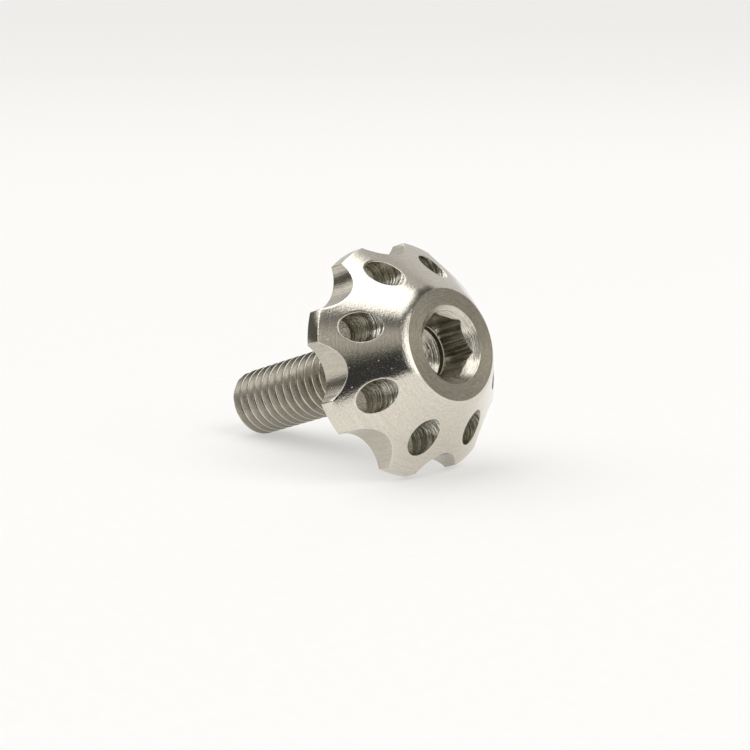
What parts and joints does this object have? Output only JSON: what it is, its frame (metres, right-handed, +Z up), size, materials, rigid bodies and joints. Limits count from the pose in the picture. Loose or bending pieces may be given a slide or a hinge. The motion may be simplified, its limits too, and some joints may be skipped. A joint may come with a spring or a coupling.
{
  "type": "umbrella head bolt",
  "caption": "Cap bolt with a short threaded shank and a wide domed head, scalloped round its rim, drilled with blind holes, and with a hexagon socket.",
  "frame": {"origin": "on the surface the bolt lies on, under the middle of its length and width", "axes": "+X runs along the lying bolt from the shank's end towards the head, +Z is up, +Y is to the left when looking along +X; the bolt's own axis is in the XZ plane and rises towards the head"},
  "size_m": [0.0272, 0.0194, 0.0187],
  "materials": {
    "stainless_steel": "turned and milled, left bare and lightly polished"
  },
  "bodies": {
    "root": {"umbrella_head_bolt": "stainless_steel"}
  },
  "joints": []
}
